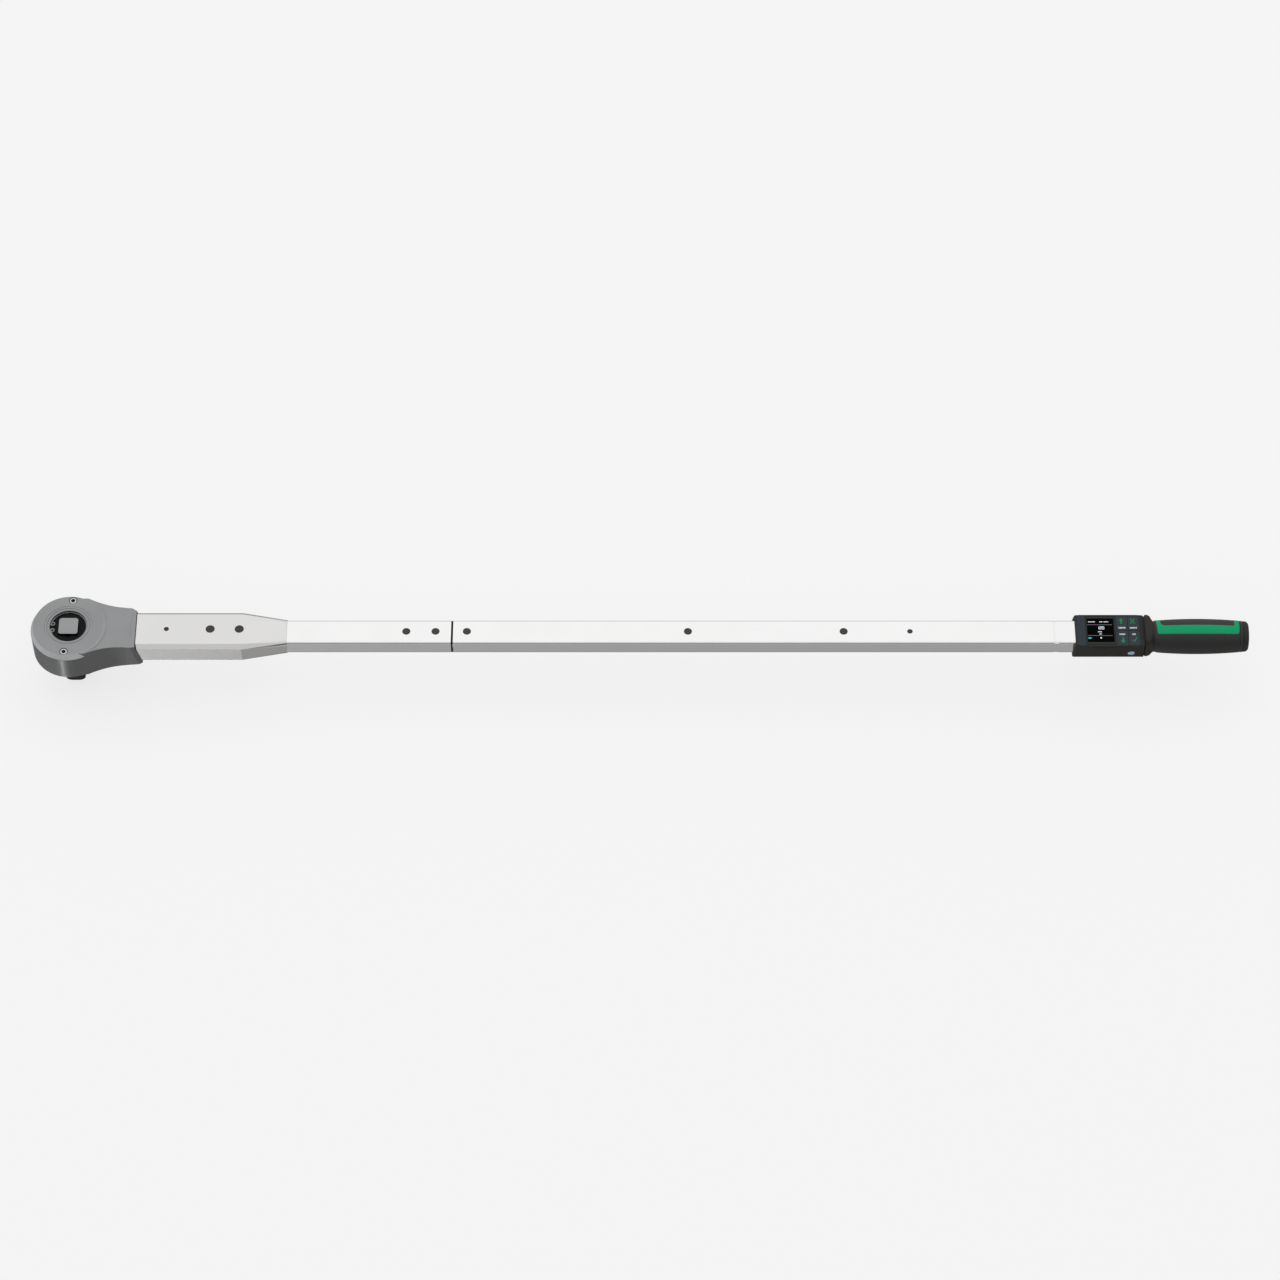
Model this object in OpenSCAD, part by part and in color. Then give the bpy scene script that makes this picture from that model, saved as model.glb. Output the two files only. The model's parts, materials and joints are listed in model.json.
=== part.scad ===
// Electronic click torque wrench with a push-through square drive.
// +X runs from the drive to the handle, +Z is the display side, and the origin is where the
// drive's axis crosses the long axis of the tool.

/* [Ratchet head] */
// Radius of the round part of the head
head_r = 38; // [37:0.5:40]
// Thickness of the round part of the head
head_h = 37; // [36:0.5:40]
// Bevel round the rim of the head
head_bevel = 2.2; // [1:0.2:3]
// Thickness of the round cover
cover_t = 5.5; // [5:0.1:5.5]
// How far the cover's sloping edge runs in
cover_slope = 2.6; // [2:0.2:3]
// Width of the neck where it meets the receptacle
neck_w = 48; // [47:0.5:50]
// Thickness of the neck where it meets the receptacle
neck_h = 30; // [29:0.5:32]
// Radius of the hollow flare between the round part and the neck
flare_r = 80; // [70:1:90]
// Distance from the drive to the joint between neck and receptacle
mouth_x = 69.4; // [68:0.2:71]
// Rake of that joint, bottom edge towards the handle
mouth_rake = 14; // [10:1:16]
// Open gap at that joint
mouth_gap = 0.8; // [0.2:0.1:1]
// Distance of the cover screws from the drive's axis
screw_pitch_r = 31; // [30.5:0.1:31.2]

/* [Ratchet and drive] */
// Number of ratchet teeth
teeth = 48; // [48:12:60]
// Radius over the tooth tips
wheel_r = 27; // [26.5:0.1:27.1]
// Radius at the tooth roots
root_r = 25; // [24.8:0.1:25.2]
// Radius of the wheel's hubs
hub_r = 24; // [23.5:0.1:24]
// Radius of the well round the square
well_r = 18.75; // [18:0.05:19]
// Width across the flats of the square drive
drive_w = 19.05; // [19.05:0.01:19.05]
// Length of the square drive
drive_len = 81; // [76:1:81]
// How far the square pushes through
drive_travel = 44; // [40:1:44]

/* [Receptacle] */
// Width of the receptacle
rec_w = 44.5; // [44:0.5:46]
// Thickness of the receptacle
rec_h = 26; // [26:0.5:27]
// Chamfer along the receptacle's long edges
rec_chamfer = 4.3; // [3:0.1:5]
// Where the receptacle starts to taper
taper_x = 172; // [171:1:176]
// Where the receptacle ends on the tube
rec_end_x = 216.6; // [212:0.2:220]
// Width of the insert spigot
spigot_w = 28; // [26:0.5:28]
// Height of the insert spigot
spigot_h = 22; // [20:0.5:22]

/* [Tube] */
// Width of the flat tube
tube_w = 27.8; // [27.6:0.1:28]
// Height of the flat tube
tube_h = 17.8; // [17.6:0.1:18]
// Wall of the flat tube
tube_wall = 1.8; // [1.6:0.1:1.8]
// Where the joint ring sits
ring_x = 380.9; // [378:0.1:384]
// Middle of the crimp near the housing
crimp_x = 982; // [975:0.5:985]
// Where the tube ends inside the housing
tube_end_x = 1004; // [1003:0.5:1004]

/* [Housing] */
// Left end of the housing
box_x0 = 999; // [998:0.5:999]
// Right end of the housing
box_x1 = 1070; // [1070:0.5:1071]
// Width of the housing
box_w = 40.4; // [40:0.2:41]
// Height of the panel above the tool's axis
panel_z = 10.5; // [10.5:0.1:11]
// Radius of the housing's belly
belly_r = 11; // [10:0.5:11]
// How much the housing's sides bulge
bulge = 2; // [1.6:0.1:2]

/* [Grip] */
// Left end of the grip
grip_x0 = 1079; // [1078:0.5:1080]
// Right end of the grip
grip_x1 = 1168; // [1166:0.5:1168]
// Largest radius of the grip
grip_r = 17.6; // [17:0.1:18]
// Depth of the green inlay
inlay_t = 1.3; // [1.1:0.1:1.4]
// End of the cap, the handle end of the tool
tool_end_x = 1173.5; // [1173:0.5:1175]

/* [Hidden] */
$fn = 72;
fit = 0.05;

head_top = head_h / 2;
cavity_z = head_top - cover_t;
cavity_r = wheel_r + 0.6;
flare_y = neck_w / 2 + flare_r;
flare_x = sqrt(pow(head_r + flare_r, 2) - pow(flare_y, 2));
touch_y = flare_y * head_r / (head_r + flare_r);
neck_top = head_top - 0.25;
neck_slope = (neck_top - neck_h / 2) / 28;
screw_turn = 85.4;
drive_low = head_top - drive_len;
clip_z = head_top - 3;
seal_z = clip_z - 1.9;
ball_r = 2.5;
ball_y = -8.4;
ball_low_z = drive_low + 12;
ball_high_z = head_top - 12;
pawl_w = 16;
pawl_back = 34;
pawl_spring_z = 2;
catch_x = 96.9;
spigot_end_x = 130;
beam_w = 16;
beam_h = 11;
beam_x1 = 345;
plug_xs = [140.5, 169.4];
core_x0 = 350;
core_x1 = 420;
core_pin_xs = [364.5, 395.7];
beam_pin_x = 335.4;
pivot_x = 615.7;
guide_x = 770.7;
seat_pin_x = 836.7;
pin_r = 4;
roller_x = 752;
block_x0 = roller_x + 2.5;
block_x1 = 786;
trip_travel = 2.4;
cable_y = 10.4;
cable_z = 5.2;
cable_r = 1.1;
split_z = 2;
belly_y = box_w / 2 - belly_r;
belly_z = -3;
wall = 2.5;
panel_x0 = 1002.8;
panel_x1 = 1066.2;
panel_w = 36.4;
panel_t = 1.1;
glass_x0 = 1011.6;
glass_x1 = 1041;
glass_w = 35;
key_l = 11.1;
key_w = 17;
key_x = [1047.95, 1059.45];
key_y = 8.75;
key_travel = 0.6;
board_x0 = 1012.5;
board_x1 = 1061;
board_z = 3.2;
post_xs = [1008.5, 1064.2];
post_y = 13.6;
chassis_x0 = 940;
chassis_x1 = 1082.5;
chassis_w = 20;
chassis_z0 = -6.6;
chassis_z1 = -2;
key_room = key_travel + 1.6;
core_r = 13.8;
bay_r = 10.55;
bay_x = 1085;
cell_x0 = bay_x + 7.2;
cell_len = 65;
cap_bore_len = 7;
inlay_x0 = 1083;
inlay_x1 = 1163.5;

// ---------- Shared shapes ----------

// Rectangle with round corners, centred
module round_rect(w, h, r) {
  square([w - 2 * r, h], center = true);
  square([w, h - 2 * r], center = true);
  for (sx = [-1, 1], sy = [-1, 1])
    translate([sx * (w / 2 - r), sy * (h / 2 - r)]) circle(r);
}

// Extrudes a flat shape along X: its x becomes Y and its y becomes Z
module along_x(x0, x1) translate([x0, 0, 0]) rotate([90, 0, 90]) linear_extrude(x1 - x0) children();

// Turns a profile round the X axis: its x is the radius and its y the place along X
module turned_x() rotate([0, 90, 0]) rotate_extrude($fn = 180) children();

module rod_x(x0, x1, r) translate([x0, 0, 0]) rotate([0, 90, 0]) cylinder(r = r, h = x1 - x0);

module rod_z(z0, z1, r) translate([0, 0, z0]) cylinder(r = r, h = z1 - z0);

module block(x0, x1, w, z0, z1) translate([x0, -w / 2, z0]) cube([x1 - x0, w, z1 - z0]);

// Round-wire spring standing along +Z from the origin
module spring(r, wire, length, turns) {
  sides = 6;
  per_turn = 14;
  steps = turns * per_turn;
  rise = length - 2 * wire;
  function ring(i) = [
    for (j = [0 : sides - 1])
      let (a = 360 * i / per_turn, b = 360 * j / sides, q = r + wire * cos(b))
        [q * cos(a), q * sin(a), wire + rise * i / steps + wire * sin(b)]
  ];
  points = [for (i = [0 : steps]) each ring(i)];
  skin = [
    for (i = [0 : steps - 1], j = [0 : sides - 1])
      let (k = (j + 1) % sides)
        [i * sides + j, (i + 1) * sides + j, (i + 1) * sides + k, i * sides + k]
  ];
  start = [for (j = [0 : sides - 1]) j];
  finish = [for (j = [sides - 1 : -1 : 0]) steps * sides + j];
  polyhedron(points, concat(skin, [start], [finish]));
}

module spring_x(x0, x1, r, wire, turns)
  translate([x0, 0, 0]) rotate([0, 90, 0]) spring(r, wire, x1 - x0, turns);

// ---------- Ratchet head ----------

// Round cover, bevelled round its top rim except where the neck starts
module cover_blank() {
  rotate_extrude() polygon([
    [0, cavity_z], [head_r, cavity_z], [head_r - cover_slope, head_top], [0, head_top]
  ]);
  intersection() {
    rod_z(cavity_z, neck_top, head_r);
    translate([0, -touch_y, cavity_z]) cube([head_r, 2 * touch_y, cover_t]);
  }
}

// Round part of the body, bevelled round its lower rim
module head_drum() rotate_extrude()
  polygon([
    [0, -head_top], [head_r - head_bevel, -head_top], [head_r, head_bevel - head_top],
    [head_r, cavity_z], [0, cavity_z]
  ]);

module neck_plan() {
  difference() {
    translate([0, -touch_y]) square([flare_x, 2 * touch_y]);
    for (s = [-1, 1]) translate([flare_x, s * flare_y]) circle(flare_r - 0.15, $fn = 200);
  }
  translate([flare_x - 1, -neck_w / 2]) square([30, neck_w]);
}

// Round, slightly dished envelope that makes the neck thinner towards the handle
module neck_envelope() {
  far_z = neck_top - neck_slope * 54;
  rotate_extrude()
    polygon([[0, -neck_top], [36, -neck_top], [90, -far_z], [90, far_z], [36, neck_top], [0, neck_top]]);
}

module at_mouth() translate([mouth_x, 0, 0]) rotate([0, -mouth_rake, 0]) children();

// Everything beyond the raked joint, and the bevel round the neck's end
module mouth_cut() at_mouth() {
  lip = 4;
  side = rec_w / 2;
  level = rec_h / 2 / cos(mouth_rake);
  translate([0, -40, -40]) cube([60, 80, 80]);
  for (s = [0, 1]) mirror([0, s, 0])
    translate([0, 0, -40]) linear_extrude(80)
      polygon([[-lip, neck_w / 2], [0, side], [1, side], [1, 40], [-lip, 40]]);
  rotate([90, 0, 0]) translate([0, 0, -40]) linear_extrude(80) {
    polygon([[-lip, level + 3.05], [0, level], [1, level], [1, 30], [-lip, 30]]);
    polygon([[-lip, -level - 1.06], [0, -level], [1, -level], [1, -30], [-lip, -30]]);
  }
}

module at_cover_screws() for (a = [0, 180]) rotate([0, 0, a + screw_turn])
  translate([screw_pitch_r, 0, 0]) children();

module head_housing() color([0.50, 0.51, 0.52]) difference() {
  union() {
    head_drum();
    difference() {
      intersection() {
        linear_extrude(60, center = true) neck_plan();
        neck_envelope();
      }
      mouth_cut();
      cover_blank();
    }
    block(60, spigot_end_x, spigot_w, -spigot_h / 2, spigot_h / 2);
  }
  rod_z(-cavity_z, cavity_z + 1, cavity_r);
  rod_z(-head_h, 0, hub_r + fit);
  block(20, pawl_back + 2.6, pawl_w + 0.6, -9.3, cavity_z + 1);
  translate([0, 0, pawl_spring_z]) rod_x(pawl_back, 52, 3.7);
  at_cover_screws() rod_z(0, cavity_z + 1, 2);
  translate([catch_x, 0, 0]) {
    rod_z(-20, 8.1, 3.5);
    rod_z(0, 20, 2.4);
  }
}

module head_cover() color([0.52, 0.53, 0.54]) difference() {
  cover_blank();
  rod_z(0, head_h, hub_r + fit);
  at_cover_screws() {
    rod_z(0, head_h, 2.05);
    rod_z(head_top - 4, head_h, 4.1);
  }
}

module cover_screws() color([0.80, 0.80, 0.81]) at_cover_screws() difference() {
  union() {
    rod_z(2, head_top - 3, 1.98);
    rod_z(head_top - 3.95, head_top - 0.9, 3.8);
    translate([0, 0, head_top - 0.9]) cylinder(r1 = 3.8, r2 = 3.3, h = 0.6);
  }
  rod_z(head_top - 3.3, head_top, 2.3, $fn = 6);
}

// ---------- Ratchet and drive ----------

// Outline of the toothed wheel, grown by the factor k
module tooth_plan(k = 1) polygon([
  for (i = [0 : teeth - 1])
    let (a = 360 * i / teeth, b = 360 * (i + 0.26) / teeth)
      each [k * wheel_r * [cos(a), sin(a)], k * root_r * [cos(b), sin(b)]]
]);

module square_hole(gap) square(drive_w + 2 * gap, center = true);

// Square hole with the groove that lets the socket balls through
module drive_way(gap, z0, z1) {
  translate([0, 0, z0]) linear_extrude(z1 - z0) square_hole(gap);
  translate([0, ball_y, 0]) rod_z(z0, z1, ball_r + 0.4);
}

module ratchet_wheel() color([0.45, 0.46, 0.47]) difference() {
  union() {
    linear_extrude(2 * cavity_z - 0.4, center = true) tooth_plan();
    rod_z(-head_top + 0.2, head_top - 0.2, hub_r);
  }
  drive_way(0.15, -head_h, head_h);
  for (s = [0, 1]) mirror([0, 0, s]) {
    rod_z(seal_z - 0.1, head_h, well_r);
    rod_z(clip_z - 0.1, clip_z + 1.2, well_r + 0.9);
    difference() {
      rod_z(head_top - 0.6, head_h, 21.6);
      rod_z(0, head_h * 2, 21.0);
    }
  }
  rod_x(-wheel_r - 1, -drive_w / 2, 2.5);
}

module stop_pin() color([0.30, 0.30, 0.31]) rod_x(-root_r + 0.6, -drive_w / 2 + 1.7, 2.48);

module well_clips() color([0.85, 0.85, 0.86]) for (s = [0, 1]) mirror([0, 0, s]) difference() {
  union() {
    difference() {
      rod_z(clip_z, clip_z + 1.1, well_r + 0.7);
      rod_z(clip_z - 1, clip_z + 2, well_r - 1.35);
      translate([-30, -2.2, clip_z - 1]) cube([20, 4.4, 4]);
    }
    for (y = [-1, 1]) translate([-15.9, y * 3.9, 0]) rod_z(clip_z, clip_z + 1.1, 2.3);
  }
  for (y = [-1, 1]) translate([-15.7, y * 3.9, 0]) rod_z(clip_z - 1, clip_z + 2, 1.1);
}

module dust_seals() color([0.05, 0.05, 0.05]) for (s = [0, 1]) mirror([0, 0, s]) difference() {
  rod_z(seal_z, clip_z - 0.1, well_r - 0.1);
  drive_way(0.3, 0, head_h);
}

module at_ball(z) translate([0, ball_y, z]) children();

module drive_square() color([0.50, 0.51, 0.52]) difference() {
  intersection() {
    translate([0, 0, drive_low]) linear_extrude(drive_len) intersection() {
      square(drive_w, center = true);
      rotate(45) square(drive_w * sqrt(2) - 2.2, center = true);
    }
    rotate_extrude() polygon([
      [0, drive_low], [10.6, drive_low], [14, drive_low + 3],
      [14, head_top - 1.6], [12, head_top], [0, head_top]
    ]);
  }
  for (z = [0, -drive_travel]) translate([0, 0, z]) rod_x(-drive_w, -drive_w / 2 + 1.9, 2.6);
  block(-drive_w, -drive_w / 2 + 1.9, 5.2, -drive_travel, 0);
  for (z = [ball_low_z, ball_high_z]) translate([0, 0, z]) rotate([90, 0, 0]) rod_z(2, 20, ball_r + fit);
}

module socket_ball_low() color([0.8, 0.8, 0.8]) at_ball(ball_low_z) sphere(ball_r);

module socket_ball_high() color([0.8, 0.8, 0.8]) at_ball(ball_high_z) sphere(ball_r);

module ball_spring(z) translate([0, -2.05, z]) rotate([90, 0, 0]) spring(1.6, 0.3, 3.8, 4);

module ball_spring_low() color([0.7, 0.7, 0.7]) ball_spring(ball_low_z);

module ball_spring_high() color([0.7, 0.7, 0.7]) ball_spring(ball_high_z);

module pawl() color([0.42, 0.42, 0.43]) difference() {
  block(root_r - 1, pawl_back, pawl_w, -9, cavity_z - 0.3);
  linear_extrude(60, center = true) tooth_plan(1.012);
  translate([0, 0, pawl_spring_z]) rod_x(pawl_back - 4, pawl_back + 1, 3.5);
}

module pawl_spring() color([0.7, 0.7, 0.7]) translate([0, 0, pawl_spring_z])
  spring_x(pawl_back - 3.9, 51.9, 2.7, 0.5, 8);

module catch_pin() color([0.42, 0.30, 0.22]) translate([catch_x, 0, 0]) {
  rod_z(5.6, 8, 3.4);
  rod_z(7.9, 12.2, 2.35);
}

module catch_spring() color([0.7, 0.7, 0.7]) translate([catch_x, 0, -6.9]) spring(2.6, 0.4, 12.4, 7);

module catch_plug() color([0.5, 0.5, 0.5]) translate([catch_x, 0, 0]) difference() {
  rod_z(-spigot_h / 2 + 0.05, -7, 3.47);
  translate([0, 0, -spigot_h / 2]) cube([8, 1, 1.6], center = true);
}

// ---------- Receptacle ----------

module rec_plan() difference() {
  square([rec_w, rec_h], center = true);
  for (sx = [-1, 1], sy = [-1, 1])
    translate([sx * rec_w / 2, sy * rec_h / 2]) rotate(45) square(rec_chamfer * sqrt(2), center = true);
}

module tube_plan(grow = 0) round_rect(tube_w + 2 * grow, tube_h + 2 * grow, 2.2 + grow);

module tube_inside() round_rect(tube_w - 2 * tube_wall, tube_h - 2 * tube_wall, 1);

module receptacle() color([0.86, 0.86, 0.85]) difference() {
  union() {
    difference() {
      along_x(mouth_x - 6, taper_x + 0.2) rec_plan();
      at_mouth() translate([mouth_gap - 60, -40, -40]) cube([60, 80, 80]);
    }
    hull() {
      along_x(taper_x, taper_x + 0.2) rec_plan();
      along_x(rec_end_x - 0.2, rec_end_x) round_rect(30.4, 20.4, 5.4, $fn = 32);
    }
  }
  block(50, spigot_end_x + 1, spigot_w + 0.1, -spigot_h / 2 - 0.05, spigot_h / 2 + 0.05);
  block(120, 190, beam_w + 0.2, -beam_h / 2 - 0.1, beam_h / 2 + 0.1);
  along_x(180, 230) tube_plan(fit);
  translate([catch_x, 0, 0]) rod_z(0, 30, 2.5);
  for (x = plug_xs) translate([x, 0, 0]) rod_z(-30, 30, 4.52);
}

module receptacle_pins() color([0.22, 0.21, 0.20]) for (x = plug_xs)
  translate([x, 0, 0]) rod_z(-rec_h / 2 + 0.1, rec_h / 2 - 0.1, 4.5);

// ---------- Tube ----------

module pin_holes(xs, r) for (x = xs) translate([x, 0, 0]) rod_z(-30, 30, r);

// Shallow waist pressed into all four sides and corners of the tube
module crimp() translate([crimp_x, 0, 0]) for (s = [-1, 1]) {
  face_r = 20;
  corner_r = 12;
  translate([0, 0, s * (tube_h / 2 + face_r - 0.12)]) rotate([90, 0, 0]) rod_z(-20, 20, face_r);
  translate([0, s * (tube_w / 2 + face_r - 0.12), 0]) rod_z(-20, 20, face_r);
  for (t = [-1, 1]) translate([0, s * (tube_w / 2 - 2.2), t * (tube_h / 2 - 2.2)])
    rotate([atan2(-s, t), 0, 0]) translate([0, 0, 2.2 + corner_r - 0.45]) rotate([90, 0, 0]) rod_z(-4, 4, corner_r);
}

module front_tube() color([0.90, 0.90, 0.90]) difference() {
  along_x(180.2, ring_x - 1) tube_plan();
  along_x(170, 400) tube_inside();
  pin_holes([beam_pin_x, core_pin_xs[0]], pin_r + 0.02);
}

module joint_ring() color([0.06, 0.06, 0.06]) difference() {
  along_x(ring_x - 0.95, ring_x + 0.95) tube_plan(-0.15);
  along_x(370, 400) tube_inside();
}

// Solid core that fills the tube, with a corner channel for the signal cable
module tube_filler(x0, x1) difference() {
  along_x(x0, x1) round_rect(tube_w - 2 * tube_wall - 0.1, tube_h - 2 * tube_wall - 0.1, 1);
  translate([x0 - 1, 9, 3.8]) cube([x1 - x0 + 2, 5, 5]);
}

module joiner_core() color([0.55, 0.55, 0.56]) difference() {
  tube_filler(core_x0, core_x1);
  pin_holes(core_pin_xs, pin_r + 0.02);
}

module rear_tube() color([0.90, 0.90, 0.90]) difference() {
  along_x(ring_x + 1, tube_end_x) tube_plan();
  along_x(370, tube_end_x + 10) tube_inside();
  pin_holes([core_pin_xs[1], pivot_x, guide_x], pin_r + 0.02);
  pin_holes([seat_pin_x], 2.72);
  crimp();
}

module tube_pins() color([0.24, 0.24, 0.25]) {
  flush_pins([beam_pin_x, core_pin_xs[0], core_pin_xs[1], guide_x], pin_r);
  flush_pins([seat_pin_x], 2.7);
}

module flush_pins(xs, r) for (x = xs)
  translate([x, 0, 0]) rod_z(-tube_h / 2 + 0.08, tube_h / 2 - 0.08, r);

module measuring_beam() color([0.60, 0.60, 0.61]) difference() {
  block(spigot_end_x + 3, beam_x1, beam_w, -beam_h / 2, beam_h / 2);
  for (s = [-1, 1]) translate([230, s * 9 - 4, -10]) cube([60, 8, 20]);
  pin_holes(plug_xs, 4.52);
  pin_holes([beam_pin_x], pin_r + 0.02);
}

module strain_gauges() color([0.80, 0.55, 0.20]) for (s = [-1, 1], x = [245, 267])
  translate([x, s * 5.15 - 0.15, -2.5]) cube([9, 0.3, 5]);

module signal_cable() color([0.10, 0.10, 0.11]) translate([0, cable_y, cable_z])
  rod_x(262, glass_x0 + 0.3, cable_r);

// ---------- Trip mechanism ----------

module pivot_pin() color([0.24, 0.24, 0.25]) flush_pins([pivot_x], pin_r);

module trip_lever() color([0.55, 0.55, 0.57]) {
  difference() {
    block(pivot_x - 9, roller_x, 10, -5, 5);
    pin_holes([pivot_x], pin_r + fit);
    translate([roller_x, 0, 0]) rod_z(-3.3, 3.3, 4.8);
  }
  translate([roller_x, 0, 0]) {
    for (z = [-5, 3.3]) rod_z(z, z + 1.7, 3.2);
    rod_z(-4, 4, 1.9);
  }
}

module trip_roller() color([0.75, 0.75, 0.76]) translate([roller_x, 0, 0]) difference() {
  rod_z(-3.1, 3.1, 4);
  rod_z(-10, 10, 1.9 + fit);
}

module trip_block() color([0.50, 0.50, 0.52]) difference() {
  block(block_x0, block_x1, 12, -3.1, 3.1);
  translate([roller_x, 0, 0]) rod_z(-10, 10, 4.4);
  for (x = [guide_x - trip_travel - 0.1, guide_x]) translate([x, 0, 0]) rod_z(-10, 10, pin_r + 0.3);
  block(guide_x - trip_travel - 0.1, guide_x, 2 * pin_r + 0.6, -10, 10);
}

module trip_spring() color([0.7, 0.7, 0.7]) spring_x(block_x1 + 0.1, 827.9, 4.4, 1.0, 9);

module spring_seat() color([0.55, 0.55, 0.56]) difference() {
  tube_filler(828, 846);
  rod_x(820, 850, 2.3);
  pin_holes([seat_pin_x], 2.72);
}

module solenoid() color([0.62, 0.36, 0.16]) difference() {
  union() {
    rod_x(862, 902, 6);
    for (x = [860, 900]) block(x, x + 4, 16, -6.4, 6.4);
  }
  rod_x(850, 890, 2.1);
}

// Iron core with a round head that the block pushes back
module plunger() color([0.75, 0.75, 0.76]) {
  rod_x(848, 886, 2.04);
  rod_x(848, 852, 3.4);
}

// ---------- Housing ----------

module chassis() color([0.58, 0.58, 0.60])
  block(chassis_x0, chassis_x1, chassis_w, chassis_z0, chassis_z1);

// Slot that the chassis bar passes through
module chassis_slot()
  block(1060, chassis_x1 + 0.1, chassis_w + 0.2, chassis_z0 - 0.1, chassis_z1 + 0.1);

// Long sides that bulge, seen from above
module box_plan() {
  side_r = (pow((box_x1 - box_x0) / 2, 2) + pow(bulge, 2)) / (2 * bulge);
  translate([(box_x0 + box_x1) / 2, 0]) intersection() {
    translate([0, side_r - box_w / 2]) circle(side_r, $fn = 400);
    translate([0, box_w / 2 - side_r]) circle(side_r, $fn = 400);
    round_rect(box_x1 - box_x0, box_w, 5);
  }
}

// Upper half of the housing's section, with sloping shoulders
module shoulder_plan() polygon([
  [-box_w / 2, 0], [box_w / 2, 0], [box_w / 2, panel_z - 2.2], [box_w / 2 - 1.3, panel_z],
  [1.3 - box_w / 2, panel_z], [-box_w / 2, panel_z - 2.2]
]);

module belly_plan(grow) {
  translate([-box_w / 2 - grow, belly_z]) square([box_w + 2 * grow, split_z - belly_z]);
  for (s = [-1, 1]) translate([s * belly_y, belly_z]) circle(belly_r + grow);
  translate([-belly_y, belly_z - belly_r - grow]) square([2 * belly_y, belly_r + grow + 1]);
}

module post_pattern() for (x = post_xs, s = [-1, 1]) translate([x, s * post_y, 0]) children();

module housing_bottom() color([0.13, 0.13, 0.13]) difference() {
  union() {
    difference() {
      intersection() {
        along_x(box_x0, box_x1) belly_plan(0);
        translate([0, 0, -30]) linear_extrude(30 + split_z) box_plan();
      }
      along_x(box_x0 + wall, box_x1 - wall) belly_plan(-wall);
      block(box_x0 + wall, box_x1 - wall, box_w - 2 * wall, belly_z, split_z + 1);
    }
    intersection() {
      along_x(box_x0, box_x1) belly_plan(0);
      post_pattern() rod_z(-30, split_z, 3.4);
    }
  }
  post_pattern() {
    rod_z(-30, -10.5, 2.7);
    rod_z(-30, 10, 1.6);
  }
  along_x(box_x0 - 5, box_x0 + 5) tube_plan(fit);
  chassis_slot();
  lamp_place() round_lens(0.05, 10);
}

module housing_top() color([0.11, 0.11, 0.11]) difference() {
  intersection() {
    along_x(box_x0, box_x1) shoulder_plan();
    translate([0, 0, split_z]) linear_extrude(30) box_plan();
    translate([box_x0 - 1, 0, 0]) rotate([0, 18, 0]) translate([0, -40, -20]) cube([100, 80, 100]);
  }
  block(panel_x0 - 0.1, panel_x1 + 0.1, panel_w + 0.2, panel_z - panel_t - 0.1, 30);
  difference() {
    block(box_x0 + 4.8, panel_x1 - 1.4, box_w - 2 * wall, 0, 30);
    for (x = [box_x0, board_x1 + 0.4], s = [-1, 1])
      translate([x, s * 16 - 4, 0]) cube([13, 8, panel_z - panel_t - 0.1]);
  }
  key_field(0.2, panel_z - key_room);
  post_pattern() rod_z(0, 6.5, 1.45);
  along_x(box_x0 - 5, box_x0 + 5.2) tube_plan(fit);
}

module housing_screws() color([0.25, 0.25, 0.26]) post_pattern() difference() {
  union() {
    rod_z(-12.1, -10.55, 2.6);
    rod_z(-10.7, 6, 1.4);
  }
  rod_z(-13, -11.2, 1.3, $fn = 6);
}

module front_panel() color([0.20, 0.23, 0.25]) difference() {
  translate([0, 0, panel_z - panel_t]) linear_extrude(panel_t)
    translate([(panel_x0 + panel_x1) / 2, 0]) round_rect(panel_x1 - panel_x0, panel_w, 2);
  block(glass_x0, glass_x1, glass_w, 0, 30);
  key_field(0, 0);
}

// Room round all four keys, from the height z up
module key_field(grow, z) {
  gap = 0.2 + grow;
  block(key_x[0] - key_l / 2 - gap, key_x[1] + key_l / 2 + gap, 2 * (key_y + gap) + key_w, z, 30);
}

module display_window() color([0.02, 0.02, 0.03])
  block(glass_x0 + fit, glass_x1 - fit, glass_w - 2 * fit, panel_z - panel_t, panel_z - 0.05);

module display_module() color([0.05, 0.06, 0.08])
  block(glass_x0 + 0.5, glass_x1 - 0.5, 31, board_z + 2, panel_z - panel_t - 0.1);

module main_board() color([0.05, 0.30, 0.14])
  block(board_x0, board_x1, 32, board_z, board_z + 1.6);

module key_places() for (x = key_x, y = [-1, 1]) translate([x, y * key_y, 0]) children();

module key_switches() color([0.75, 0.75, 0.75]) key_places() {
  translate([-3, -3, board_z + 1.6]) cube([6, 6, 2.6]);
  rod_z(board_z + 4, board_z + 4.9, 1.7);
}

module buzzer() color([0.08, 0.08, 0.08]) translate([1054, 7, 0]) difference() {
  rod_z(board_z - 3.4, board_z, 5);
  rod_z(board_z - 4, board_z - 2.6, 0.8);
}

module key_cap(i, s) color([0.22, 0.25, 0.27]) translate([key_x[i], s * key_y, 0]) {
  translate([-key_l / 2, -key_w / 2, panel_z - 1.4]) cube([key_l, key_w, 1.3]);
  rod_z(panel_z - 1.65, panel_z - 1.2, 2);
}

module key_up() key_cap(0, 1);

module key_cross() key_cap(1, 1);

module key_down() key_cap(0, -1);

module key_tick() key_cap(1, -1);

module lamp_place()
  translate([1056.5, 0.45 - box_w / 2, -1.4]) rotate([90, 0, 0]) mirror([0, 0, 1]) children();

module round_lens(grow, depth)
  linear_extrude(depth) round_rect(7 + 2 * grow, 5.6 + 2 * grow, 2.7 + grow);

module signal_lamp() color([0.72, 0.85, 0.92]) lamp_place() round_lens(0, 3.2);

// ---------- Grip ----------

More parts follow.
